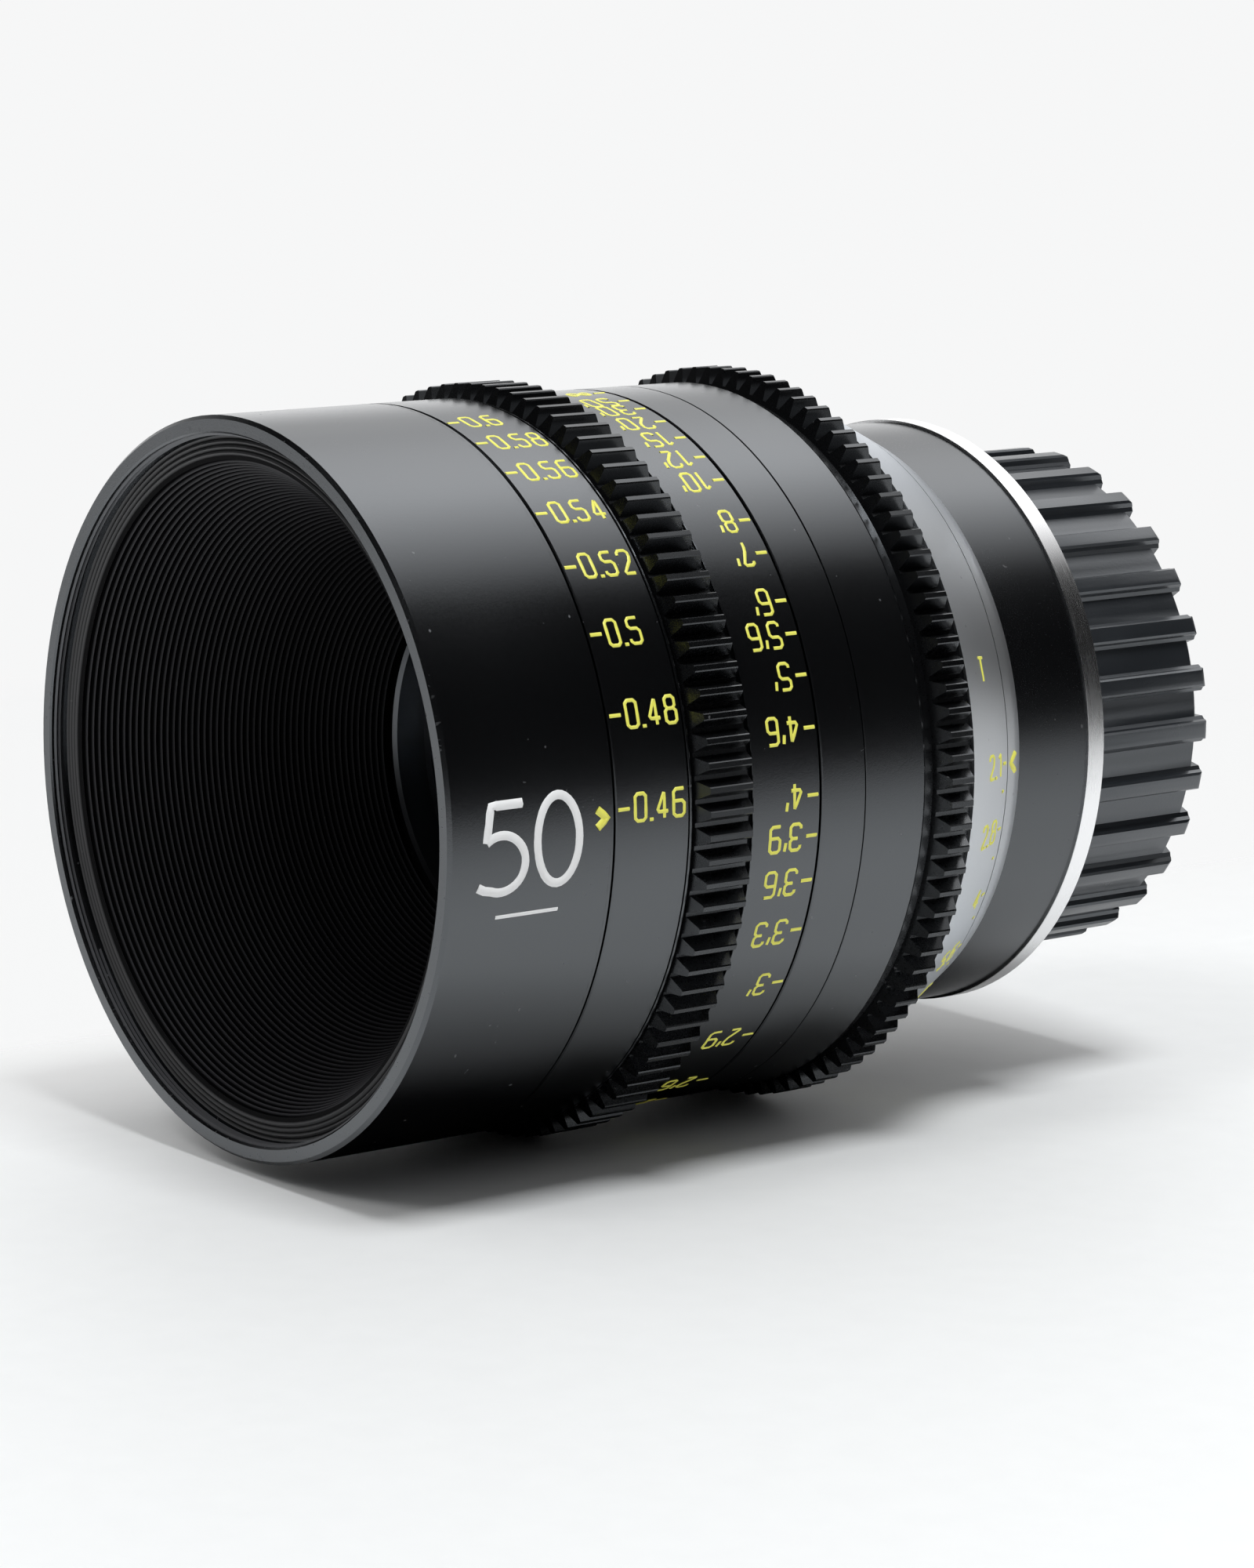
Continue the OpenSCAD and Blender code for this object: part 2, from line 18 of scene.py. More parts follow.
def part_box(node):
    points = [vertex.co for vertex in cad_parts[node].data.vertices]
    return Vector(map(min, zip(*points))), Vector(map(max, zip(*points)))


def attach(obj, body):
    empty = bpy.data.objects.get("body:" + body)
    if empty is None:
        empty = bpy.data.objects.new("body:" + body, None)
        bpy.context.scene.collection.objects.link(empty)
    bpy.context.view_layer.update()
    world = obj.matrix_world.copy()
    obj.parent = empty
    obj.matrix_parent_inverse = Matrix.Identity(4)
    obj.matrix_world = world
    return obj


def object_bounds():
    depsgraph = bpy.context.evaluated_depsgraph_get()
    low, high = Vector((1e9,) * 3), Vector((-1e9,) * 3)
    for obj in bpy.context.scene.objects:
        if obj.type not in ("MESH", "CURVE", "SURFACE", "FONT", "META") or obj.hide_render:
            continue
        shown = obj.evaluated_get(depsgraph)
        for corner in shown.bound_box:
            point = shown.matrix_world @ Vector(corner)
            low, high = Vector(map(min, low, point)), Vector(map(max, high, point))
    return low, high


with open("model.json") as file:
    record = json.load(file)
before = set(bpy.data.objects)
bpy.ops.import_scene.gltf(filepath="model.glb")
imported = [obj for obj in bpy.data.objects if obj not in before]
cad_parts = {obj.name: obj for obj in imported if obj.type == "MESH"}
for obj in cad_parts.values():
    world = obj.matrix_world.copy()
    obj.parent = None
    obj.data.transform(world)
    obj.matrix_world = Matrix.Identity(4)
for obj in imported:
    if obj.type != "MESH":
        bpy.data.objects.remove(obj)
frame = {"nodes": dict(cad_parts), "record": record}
nodes = frame["nodes"]
cad_low, cad_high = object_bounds()
MM = 0.001
print(len(nodes), "CAD nodes, box", [round((b - a) / MM, 1) for a, b in zip(cad_low, cad_high)], "mm")

# %% Measures that the marks, the thread and the table need
BARREL_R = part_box("front_barrel")[1].x
RIM_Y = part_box("front_barrel")[0].y
TABLE_Z = cad_low.z


def round_axis(radius, degrees, y):
    """A point at a radius and an angle round the optical axis."""
    a = math.radians(degrees)
    return Vector((radius * math.sin(a), y, radius * math.cos(a)))


print("barrel radius %.2f, front rim at %.2f, table at %.2f mm" % (BARREL_R / MM, RIM_Y / MM, TABLE_Z / MM))

# %% [markdown]
# ## Writing shaders as sums
#
# A finish is a chain of small calculations: a grain added to a cloudiness, a mask taken from
# a distance. Placing Math nodes one by one hides that, so a socket is wrapped in a class whose
# plus, minus and times add the Math node. Every other node comes from one method that takes
# its type, its settings and what goes into its sockets.

# %% A socket with Python's operators
class Wire:
    """An output socket; arithmetic on it adds Math nodes."""

    def __init__(self, finish, socket):
        self.finish = finish
        self.socket = socket

    def __add__(self, other):
        return self.finish.maths("ADD", self, other)

    def __radd__(self, other):
        return self.finish.maths("ADD", other, self)

    def __sub__(self, other):
        return self.finish.maths("SUBTRACT", self, other)

    def __rsub__(self, other):
        return self.finish.maths("SUBTRACT", other, self)

    def __mul__(self, other):
        return self.finish.maths("MULTIPLY", self, other)

    def __rmul__(self, other):
        return self.finish.maths("MULTIPLY", other, self)

    def __truediv__(self, other):
        return self.finish.maths("DIVIDE", self, other)

    def __rtruediv__(self, other):
        return self.finish.maths("DIVIDE", other, self)

    def __pow__(self, other):
        return self.finish.maths("POWER", self, other)

    def between(self, low, high):
        """0 below low, 1 above high, a straight line between them."""
        return self.finish.node("ShaderNodeMapRange", {"clamp": True},
                                {"Value": self, "From Min": low, "From Max": high})


# %% A finish that adds its nodes one after another
class Finish:
    """The nodes of one material, lamp or world."""

    def __init__(self, owner):
        owner.use_nodes = True
        self.tree = owner.node_tree
        self.tree.nodes.clear()

    def node(self, kind, settings=None, values=None, out=0):
        made = self.tree.nodes.new(kind)
        for key, value in (settings or {}).items():
            setattr(made, key, value)
        for key, value in (values or {}).items():
            socket = made.inputs[key]
            if isinstance(value, Wire):
                self.tree.links.new(value.socket, socket)
            else:
                socket.default_value = (*value, 1.0) if socket.type == "RGBA" else value
        return Wire(self, made.outputs[out]) if made.outputs else None

    def maths(self, operation, *values):
        return self.node("ShaderNodeMath", {"operation": operation}, dict(enumerate(values)))

    def dot(self, vector, fixed):
        return self.node("ShaderNodeVectorMath", {"operation": "DOT_PRODUCT"},
                         {0: vector, 1: fixed}, out="Value")

    def noise(self, vector, scale, detail=2.0):
        return self.node("ShaderNodeTexNoise", {}, {"Vector": vector, "Scale": scale, "Detail": detail})

    def vector(self, x, y, z):
        return self.node("ShaderNodeCombineXYZ", {}, {"X": x, "Y": y, "Z": z})

    def mix(self, share, first, second):
        return self.node("ShaderNodeMix", {"data_type": "RGBA"}, {0: share, 6: first, 7: second}, out=2)

    def bump(self, height, distance):
        return self.node("ShaderNodeBump", {}, {"Height": height, "Distance": distance})

    def surface(self, values):
        shader = self.node("ShaderNodeBsdfPrincipled", {}, values)
        self.node("ShaderNodeOutputMaterial", {}, {"Surface": shader})


class Turned(Finish):
    """A finish for a piece turned on the optical axis, with its radius and its angle as wires."""

    def __init__(self, name):
        self.material = bpy.data.materials.new(name)
        super().__init__(self.material)
        self.place = self.node("ShaderNodeTexCoord", out="Object")
        self.x, self.y, self.z = (
            self.node("ShaderNodeSeparateXYZ", {}, {"Vector": self.place}, out=axis) for axis in "XYZ")
        self.radius = (self.x * self.x + self.z * self.z) ** 0.5
        self.angle = self.maths("ARCTAN2", self.x, self.z)

    def tool_marks(self, fineness):
        """Rings left by the cutting tool: a noise that changes along the axis and the radius only."""
        return self.noise(self.vector(self.radius * fineness, self.y * fineness, 0.0), 1.0, 1.0)


finishes = {}
print("shader helpers ready")

# %% [markdown]
# ## The black anodised skin
#
# The barrels are aluminium, turned, blasted with fine beads and anodised black. The dye takes
# nearly all the light, and what is seen is the sheen of the oxide: a soft mirror of the lamp
# above and the table below. So the colour is almost black, the index of refraction is high,
# and the blasting is a grain of about a seventh of a millimetre in the roughness and the bump.
# Slow clouds in the roughness are where hands have been, and a few specks are dust. The gears
# are cut after blasting, so their oxide is smoother and thinner and mirrors less.

# %% Anodised finishes for barrels, rings, gears and cells
DYED, WORN = (0.0012, 0.0012, 0.0015), (0.075, 0.075, 0.080)
SCUFFED = (0.16, 0.16, 0.165)
OXIDE_INDEX, CUT_OXIDE_INDEX, REAR_OXIDE_INDEX = 2.13, 1.75, 2.0
OXIDE_TINT = (0.90, 0.945, 1.0)
RIM_WEAR = (RIM_Y + 0.1 * MM, RIM_Y + 0.6 * MM)


def anodised(name, rough, grain_depth, index=OXIDE_INDEX, dye=DYED):
    f = Turned(name)
    grain = f.noise(f.place, 6500.0, 1.0) * 0.6 + f.noise(f.place, 2600.0, 1.0) * 0.4
    cloud = f.noise(f.place, 45.0, 3.0)
    marks = f.tool_marks(4200.0)
    dust = f.noise(f.place, 1500.0, 0.0).between(0.86, 0.90)
    at_rim = 1.0 - f.y.between(*RIM_WEAR)
    scuff = at_rim * f.noise(f.place, 1500.0, 3.0).between(0.64, 0.74)
    f.surface({
        "Base Color": f.mix(dust * 0.4 + scuff * 0.20, dye, SCUFFED),
        "Roughness": rough + (cloud - 0.5) * 0.08 + (grain - 0.5) * 0.10 + (dust + scuff) * 0.25,
        "IOR": index,
        "Specular Tint": OXIDE_TINT,
        "Normal": f.bump(grain * 0.75 + marks * 0.25, grain_depth),
    })
    finishes[name] = f.material


anodised("barrel_black", 0.23, 0.000008)
anodised("ring_black", 0.23, 0.000008)
anodised("gear_black", 0.28, 0.000002, CUT_OXIDE_INDEX)
anodised("cell_black", 0.36, 0.000004)
anodised("worn_thread", 0.40, 0.000004, CUT_OXIDE_INDEX, WORN)
print("anodised:", sorted(finishes))

# %% [markdown]
# ## The grey cone
#
# The aperture scale stands on a band that was left grey: clear anodising over blasted metal,
# which is a soft metal mirror. The band crosses the seam between the turning cone and the fixed
# index, and the fixed half is one piece with the black rear barrel. So one finish carries both,
# and the place along the axis says where the grey ends.

# %% Grey band on the cone and on the front of the rear barrel
CONE_END_Y = -12.6 * MM


def grey_band(name, end_y):
    f = Turned(name)
    grain = f.noise(f.place, 6500.0, 1.0)
    cloud = f.noise(f.place, 60.0, 3.0)
    marks = f.tool_marks(5200.0)
    dust = f.noise(f.place, 1500.0, 0.0).between(0.84, 0.88)
    black = f.y.between(end_y - 0.02 * MM, end_y + 0.02 * MM)
    grey = f.mix(cloud.between(0.35, 0.7), (0.55, 0.555, 0.565), (0.60, 0.605, 0.61))
    f.surface({
        "Base Color": f.mix(dust * 0.4, f.mix(black, grey, DYED), SCUFFED),
        "Metallic": (1.0 - black) * 0.95,
        "Roughness": 0.34 - black * 0.09 + (cloud - 0.5) * 0.08 + (grain - 0.5) * 0.10,
        "IOR": REAR_OXIDE_INDEX,
        "Specular Tint": OXIDE_TINT,
        "Normal": f.bump(grain * 0.7 + marks * 0.3, 0.000006),
    })
    return f.material


finishes["scale_cone"] = grey_band("scale_cone", 0.0)
rear_barrel_finish = grey_band("rear_barrel_black", CONE_END_Y)
print("grey to", CONE_END_Y / MM, "mm")

# %% [markdown]
# ## The funnel and the blades
#
# The funnel in front of the glass is there to swallow light: fine ribs in a black that is duller
# than the barrel's. The shade in the hollow between two ribs is painted: a second, dead black
# shader is mixed in by the place within one rib, and on the crests more of it the deeper the rib
# lies, a painted shade for the depth of the funnel. The shallow valleys of the rings on the front
# face get the same painted shade. The iris blades are thin steel, blackened, and are one dull black all
# over.

# %% Dull blacks
RIB_PITCH = 0.62 * MM
FIRST_RIB_Y = RIM_Y + 2.3 * MM
DEEP_Y = RIM_Y + 22 * MM
FACE_VALLEY = (RIM_Y + 2.0 * MM, RIM_Y + 2.15 * MM)
DUSTY = (0.10, 0.10, 0.10)


def dull_black(name, tone, rough, index, ribbed):
    f = Turned(name)
    grain = f.noise(f.place, 5200.0, 2.0)
    dust = f.noise(f.place, 1300.0, 0.0).between(0.81, 0.84)
    on_ribs = f.maths("GREATER_THAN", f.y, FIRST_RIB_Y)
    coat = f.node("ShaderNodeBsdfPrincipled", {}, {
        "Base Color": f.mix(dust * 0.5 + (1.0 - on_ribs) * 0.5, tone, DUSTY),
        "Roughness": rough + (grain - 0.5) * 0.14,
        "IOR": index,
        "Normal": f.bump(grain, 0.000005),
    })
    shader = coat
    if ribbed:
        # painted shade: a dead black mixed into the hollows between ribs, and onto the crests the deeper
        # they lie
        rib = f.maths("FRACT", (f.y - FIRST_RIB_Y) / RIB_PITCH)
        crest = f.maths("ABSOLUTE", rib - 0.5) * 2.0
        deep = f.y.between(FIRST_RIB_Y, DEEP_Y)
        groove_shade = on_ribs * (1.0 - crest.between(0.45, 1.0) * (1.0 - deep * 0.75)) * 0.97
        # painted shade in the shallow valleys of the rings on the funnel's front face
        groove_shade = groove_shade + (1.0 - on_ribs) * f.y.between(*FACE_VALLEY) * 0.9
        dead = f.node("ShaderNodeBsdfDiffuse", {}, {"Color": DYED})
        shader = f.node("ShaderNodeMixShader", {}, {0: groove_shade, 1: coat, 2: dead})
    f.node("ShaderNodeOutputMaterial", {}, {"Surface": shader})
    finishes[name] = f.material


dull_black("baffle_black", (0.046, 0.045, 0.050), 0.50, 1.4, True)
dull_black("blade_black", (0.014, 0.014, 0.015), 0.42, 1.6, False)
print("dull blacks:", [n for n in finishes if "baffle" in n or "blade" in n])

# %% [markdown]
# ## Bare metals
#
# The mount is hard plated and ground, so its lines run round the axis; brass and steel inside
# are plain turned metal. A metal's colour is its reflection, so the colour only tints it and
# the tool marks do the work, in roughness and in bump.

# %% Turned metals
def turned_metal(name, tone, rough, fineness, depth):
    f = Turned(name)
    marks = f.tool_marks(fineness)
    hairs = f.noise(f.vector(f.radius * 9000.0, f.y * 9000.0, f.angle * 14.0), 1.0, 2.0)
    smudge = f.noise(f.place, 90.0, 3.0).between(0.45, 0.8)
    f.surface({
        "Base Color": f.mix(smudge * 0.25, tone, tuple(0.72 * c for c in tone)),
        "Metallic": 1.0,
        "Roughness": rough + (hairs - 0.5) * 0.16 + smudge * 0.08,
        "Normal": f.bump(marks * 0.5 + hairs * 0.5, depth),
    })
    finishes[name] = f.material


turned_metal("mount_steel", (0.96, 0.96, 0.97), 0.24, 5200.0, 0.000002)
turned_metal("pin_steel", (0.55, 0.55, 0.56), 0.30, 6000.0, 0.000003)
turned_metal("helicoid_brass", (0.62, 0.45, 0.18), 0.28, 7000.0, 0.000004)
print("metals:", [n for n in finishes if "steel" in n or "brass" in n])

# %% [markdown]
# ## Glass, bearings and the moulded cap
#
# The elements are clear glass with a thin coating, so the only variation is a trace of dust in
# the roughness. The bushes are a pale bearing plastic. The rear cap is injection moulded: dark
# grey, with the shallow pebble of an etched mould that breaks its highlights up.

# %% Glass, plastic bearings, moulded cap
def coated_glass(name):
    f = Turned(name)
    dust = f.noise(f.place, 2600.0, 1.0).between(0.74, 0.84)
    f.surface({
        "Base Color": f.mix(dust * 0.15, (0.93, 0.95, 0.98), (0.85, 0.86, 0.86)),
        "Roughness": 0.01 + dust * 0.03,
        "Transmission Weight": 1.0,
        "IOR": 1.62,
        "Specular Tint": (0.20, 0.25, 0.36),
    })
    finishes[name] = f.material


def moulded(name, tone, rough, index, pebble, depth):
    f = Turned(name)
    pebbles = f.noise(f.place, pebble, 2.0)
    flow = f.noise(f.place, 70.0, 3.0)
    rubbed = f.noise(f.place, 400.0, 2.0).between(0.68, 0.85)
    pale = tuple(1.7 * c + 0.01 for c in tone)
    f.surface({
        "Base Color": f.mix(flow.between(0.35, 0.75) * 0.35 + rubbed * 0.25, tone, pale),
        "Roughness": rough + (flow - 0.5) * 0.12 - rubbed * 0.10,
        "IOR": index,
        "Specular Tint": OXIDE_TINT,
        "Normal": f.bump(pebbles, depth),
    })
    finishes[name] = f.material


coated_glass("lens_glass")
moulded("bush_white", (0.62, 0.61, 0.57), 0.5, 1.45, 2500.0, 0.000004)
moulded("cap_plastic", (0.012, 0.014, 0.017), 0.32, 1.9, 3200.0, 0.00001)
print("all finishes:", sorted(finishes))

# %% Put each finish on the CAD nodes of its slot
for sub in frame["record"]["subparts"]:
    node = nodes[sub["node"]]
    node.data.materials.clear()
    node.data.materials.append(finishes[sub["material_slot"]])
nodes["rear_barrel"].data.materials[0] = rear_barrel_finish

# %% [markdown]
# ## Whole skins and soft edges
#
# A turned barrel has no seam, but the faces of a CAD node are loose from one another, and where
# a full turn begins and ends the shading would break along a line. A Weld joins the faces, and
# an Edge Split parts them again at the true corners only. The moulded cap has no sharp edge
# anywhere, since the steel of the mould is rounded so that the part comes out. Its faces stay
# joined, and a Bevel rounds what the chamfers of its ribs leave.

# %% Join the faces of the turned pieces
CORNER = math.radians(20)
for name, node in nodes.items():
    weld = node.modifiers.new("join", "WELD")
    weld.merge_threshold = 1e-6
    if name != "rear_cap":
        node.modifiers.new("corners", "EDGE_SPLIT").split_angle = CORNER
print("joined the faces of", len(nodes), "nodes")

# %% Round the edges of the cap
soft = nodes["rear_cap"].modifiers.new("soft_edge", "BEVEL")
soft.width = 0.20 * MM
soft.segments = 3
soft.limit_method = "ANGLE"
soft.angle_limit = math.radians(25)
soft.harden_normals = True
print("cap edges rounded by", soft.width / MM, "mm")

# %% [markdown]
# ## The filter thread
#
# Behind the front rim the bore is cut with a fine screw thread of half a millimetre pitch. On
# the solid it is a plain bore. One crest is a small triangle that points at the axis, and the
# Screw modifier winds it round the axis and along it. Filters have rubbed the dye off it.

# %% Wind the thread crest
def select_only(obj):
    bpy.ops.object.select_all(action="DESELECT")
    obj.select_set(True)
    bpy.context.view_layer.objects.active = obj


def close_and_face_out(obj):
    """Merges doubles, fills open ends and turns all faces outwards."""
    select_only(obj)
    bpy.ops.object.mode_set(mode="EDIT")
    bpy.ops.mesh.select_all(action="SELECT")
    bpy.ops.mesh.remove_doubles(threshold=1e-7)
    bpy.ops.mesh.fill_holes(sides=0)
    bpy.ops.mesh.select_all(action="SELECT")
    bpy.ops.mesh.normals_make_consistent(inside=False)
    bpy.ops.object.mode_set(mode="OBJECT")


THREAD_R = 38.1 * MM
THREAD_PITCH = 0.5 * MM
THREAD_TURNS = 2.4
THREAD_STEPS = 330
THREAD_Y = RIM_Y + 0.4 * MM
CREST = 0.27 * MM
bpy.ops.object.select_all(action="DESELECT")
bpy.ops.mesh.primitive_circle_add(
    vertices=3, radius=CREST, location=(THREAD_R, THREAD_Y, 0.0), rotation=(0.0, 0.0, math.pi / 2))
thread = bpy.context.object
thread.name = "filter_thread_crest"
bpy.ops.object.transform_apply(location=True, rotation=True, scale=True)
screw = thread.modifiers.new("wind", "SCREW")
screw.axis = "Y"
screw.angle = 2 * math.pi * THREAD_TURNS
screw.screw_offset = THREAD_PITCH * THREAD_TURNS
screw.steps = screw.render_steps = THREAD_STEPS
screw.use_smooth_shade = False
bpy.ops.object.modifier_apply(modifier="wind")
close_and_face_out(thread)
thread.data.materials.append(finishes["worn_thread"])
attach(thread, "barrel")
print("thread crest:", len(thread.data.polygons), "faces")

# %% [markdown]
# ## The edge of the front barrel
#
# The front barrel ends in a crisp edge beside the focus ring. On the solid that edge is broken
# wide, so that a clamp-on ring passes over it, and the seam would look too broad. A thin sleeve
# brings the edge back: an open cylinder with a wall put on by Solidify.

# %% A sleeve at the seam
EDGE_FROM, EDGE_TO = -73.48 * MM, -73.13 * MM
SLEEVE_WALL, SLEEVE_SIDES = 0.25 * MM, 264
bpy.ops.object.select_all(action="DESELECT")
bpy.ops.mesh.primitive_cylinder_add(
    vertices=SLEEVE_SIDES, radius=BARREL_R, depth=EDGE_TO - EDGE_FROM, end_fill_type="NOTHING",
    location=(0.0, (EDGE_FROM + EDGE_TO) / 2, 0.0), rotation=(math.pi / 2, 0.0, 0.0))
sleeve = bpy.context.object
sleeve.name = "front_barrel_edge"
bpy.ops.object.transform_apply(location=True, rotation=True, scale=True)
sleeve_wall = sleeve.modifiers.new("sleeve_wall", "SOLIDIFY")
sleeve_wall.thickness = SLEEVE_WALL
sleeve_wall.offset = -1.0
bpy.ops.object.modifier_apply(modifier="sleeve_wall")
close_and_face_out(sleeve)
bpy.ops.object.shade_smooth_by_angle(angle=math.radians(30))
sleeve.data.materials.append(finishes["barrel_black"])
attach(sleeve, "barrel")
print("sleeve from", round(EDGE_FROM / MM, 2), "to", round(EDGE_TO / MM, 2), "mm")

# %% [markdown]
# ## A stroke alphabet for the scales
#
# The scales are engraved with a round cutter and filled with paint, so each figure is a path of
# the cutter, of one width all along. A curve with a round bevel is just that path. The path is
# laid out flat in millimetres, wrapped on the ring and sunk, so that only a shallow bead of
# paint stands out of the metal.

# %% Paths of the figures, on a box one wide and one high
def cut_corners(points, cut, closed=False):
    """The path with each corner replaced by two points, as a round cutter leaves it."""
    count = len(points)
    path = []
    for i, p in enumerate(points):
        if not closed and i in (0, count - 1):
            path.append(p)
            continue
        for q in (points[i - 1], points[(i + 1) % count]):
            d = math.hypot(q[0] - p[0], q[1] - p[1])
            t = min(cut, d / 2) / d
            path.append((p[0] + (q[0] - p[0]) * t, p[1] + (q[1] - p[1]) * t))
    return path


FIGURES = {
    "0": [("loop", [(0, 0), (1, 0), (1, 1), (0, 1)])],
    "1": [("line", [(0.1, 0.8), (0.55, 1), (0.55, 0)])],
    "2": [("line", [(0, 0.8), (0, 1), (1, 1), (1, 0.6), (0, 0.0), (1, 0)])],
    "3": [("line", [(0, 0.82), (0, 1), (1, 1), (1, 0.54), (0.3, 0.54)]),
          ("line", [(0.3, 0.54), (1, 0.54), (1, 0), (0, 0), (0, 0.18)])],
    "4": [("line", [(0.72, 0), (0.72, 1), (0, 0.24), (1.05, 0.24)])],
    "5": [("line", [(0.95, 1), (0, 1), (0, 0.58), (1, 0.58), (1, 0), (0, 0), (0, 0.18)])],
    "6": [("line", [(0.95, 1), (0, 1), (0, 0), (1, 0), (1, 0.56), (0, 0.56)])],
    "7": [("line", [(0, 0.84), (0, 1), (1, 1), (0.35, 0.3), (0.35, 0)])],
    "8": [("loop", [(0, 0), (1, 0), (1, 0.54), (0, 0.54)]),
          ("loop", [(0.05, 0.54), (0.95, 0.54), (0.95, 1), (0.05, 1)])],
    "9": [("line", [(0.05, 0), (1, 0), (1, 1), (0, 1), (0, 0.44), (1, 0.44)])],
    "T": [("line", [(0, 1), (1, 1)]), ("line", [(0.5, 1), (0.5, 0)])],
}
WIDTHS = {"1": 0.55, ".": 0.15, "'": 0.0, "~": 1.9}
CLOSE = {".": 0.72, "'": 0.82}


def eight_on_its_side(width, height, count=40):
    """The sign for infinity, as a closed path."""
    turns = [2 * math.pi * i / count for i in range(count)]
    return [(width / 2 + width / 2 * math.cos(t), height / 2 * math.sin(2 * t)) for t in turns]


def figure_paths(text, width, height, gap):
    """Flat paths for a number, in metres, starting at 0 and centred on its height; and its length."""
    paths, at, before = [], 0.0, ""
    for sign in text:
        if before:
            at += gap * CLOSE.get(before, CLOSE.get(sign, 1.0))
        if sign == "~":
            paths.append(("loop", [(at + u, v) for u, v in eight_on_its_side(1.9 * width, 0.55 * height)]))
        elif sign == ".":
            paths.append(("line", [(at - 0.1 * width, -height / 2), (at + 0.25 * width, -height / 2)]))
        elif sign == "'":
            paths.append(("line", [(at, height / 2), (at - 0.10 * width, 0.17 * height)]))
        else:
            for kind, points in FIGURES[sign]:
                flat = [(at + u * width, (v - 0.5) * height) for u, v in points]
                paths.append((kind, cut_corners(flat, 0.22 * width, kind == "loop")))
        at += width * WIDTHS.get(sign, 1.0)
        before = sign
    return paths, at


print(len(FIGURES), "figures in the alphabet")

# %% Lay paths on a turned surface and make them a mesh
def painted_paths(name, paths, bead, show, paint, body):
    """paths holds (kind, points); bead is the cutter's radius, and show the width that is seen."""
    sink = math.sqrt(bead * bead - show * show / 4)
    curve = bpy.data.curves.new(name, "CURVE")
    curve.dimensions = "3D"
    curve.bevel_depth = bead
    curve.bevel_resolution = 2
    curve.use_fill_caps = True
    for kind, points in paths:
        spline = curve.splines.new("POLY")
        spline.points.add(len(points) - 1)
        spline.use_cyclic_u = kind == "loop"
        for slot_point, (spot, outward) in zip(spline.points, points):
            slot_point.co = (*(spot - outward * sink), 1.0)
    piece = bpy.data.objects.new(name, curve)
    bpy.context.scene.collection.objects.link(piece)
    select_only(piece)
    bpy.ops.object.convert(target="MESH")
    piece = bpy.context.object
    close_and_face_out(piece)
    bpy.ops.object.shade_smooth_by_angle(angle=math.radians(50))
    piece.data.materials.clear()
    piece.data.materials.append(finishes[paint])
    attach(piece, body)
    print(name, "has", len(paths), "strokes and", len(piece.data.polygons), "faces")


def fine_steps(points, longest, closed):
    """Adds points along a flat path, so that it can follow a curved surface."""
    ends = points[1:] + (points[:1] if closed else [])
    path = []
    for p, q in zip(points, ends):
        du, dv = q[0] - p[0], q[1] - p[1]
        pieces = max(1, math.ceil(math.hypot(du, dv) / longest))
        path += [(p[0] + du * k / pieces, p[1] + dv * k / pieces) for k in range(pieces)]
    return path if closed else path + [points[-1]]


def on_barrel(paths, y, degrees, way):
    """Wraps flat paths on the barrel; way is 1 where the text reads to the rear, -1 to the front."""
    laid = []
    for kind, points in paths:
        spots = []
        for u, v in fine_steps(points, 0.7 * MM, kind == "loop"):
            a = degrees - way * math.degrees(v / BARREL_R)
            spots.append((round_axis(BARREL_R, a, y + way * u), round_axis(1.0, a, 0.0)))
        laid.append((kind, spots))
    return laid


print("paths can be laid on the barrel")

# %% [markdown]
# ## Paint
#
# The distance and aperture scales are a lemon yellow, the focal length is white. Paint in an
# engraving is never quite even: it is thinner where the cutter went shallow, so a soft noise
# varies its colour and its gloss.

# %% Two paints
def enamel(name, tone, thin):
    f = Turned(name)
    uneven = f.noise(f.place, 900.0, 2.0)
    f.surface({
        "Base Color": f.mix(uneven.between(0.4, 0.75) * 0.5, tone, thin),
        "Roughness": 0.42 + (uneven - 0.5) * 0.2,
        "IOR": 1.5,
    })
    finishes[name] = f.material


enamel("scale_paint", (0.95, 0.92, 0.15), (0.90, 0.86, 0.12))
enamel("numeral_paint", (0.97, 0.97, 0.97), (0.94, 0.94, 0.95))
print("paints:", [n for n in finishes if "paint" in n])

# %% [markdown]
# ## The two distance scales
#
# Turning the focus ring by an angle moves the glass by a length, and a thin lens gives the
# distance for that length. The ring's angle follows it with a slight bend, which was fitted to
# the numbers in sight, and the others follow the same rule. The metre scale reads from the near
# side, and the foot scale is upside down for the assistant on the other side, half a turn away.

# %% Angles of the distances and the two scales
FOCAL = 50.0
FIGURE_W, FIGURE_H, FIGURE_GAP = 1.36 * MM, 2.82 * MM, 0.84 * MM
STROKE, CUTTER = 0.41 * MM, 0.32 * MM
NEAR_INDEX, FAR_INDEX = 88.05, 3.33
FOCUS_TURN = 264.7
TURN_PER_MM, TURN_BEND = 39.0, 0.235
DASH = 1.45 * MM
METRE_DASH_Y, METRE_FIGURE_Y = -72.5 * MM, -70.3 * MM
FOOT_DASH_Y, FOOT_FIGURE_Y = -46.15 * MM, -48.35 * MM


def scale_angle(metres):
    """Angle of a distance, counted from infinity."""
    span = metres * 1000 - 2 * FOCAL
    travel = (span - math.sqrt(span * span - 4 * FOCAL * FOCAL)) / 2
    return TURN_PER_MM * travel - TURN_BEND * travel * travel


def feet(text):
    """Metres for a text such as 3'6."""
    whole, inches = text.split("'")
    return (float(whole) + float(inches or 0) / 12) * 0.3048


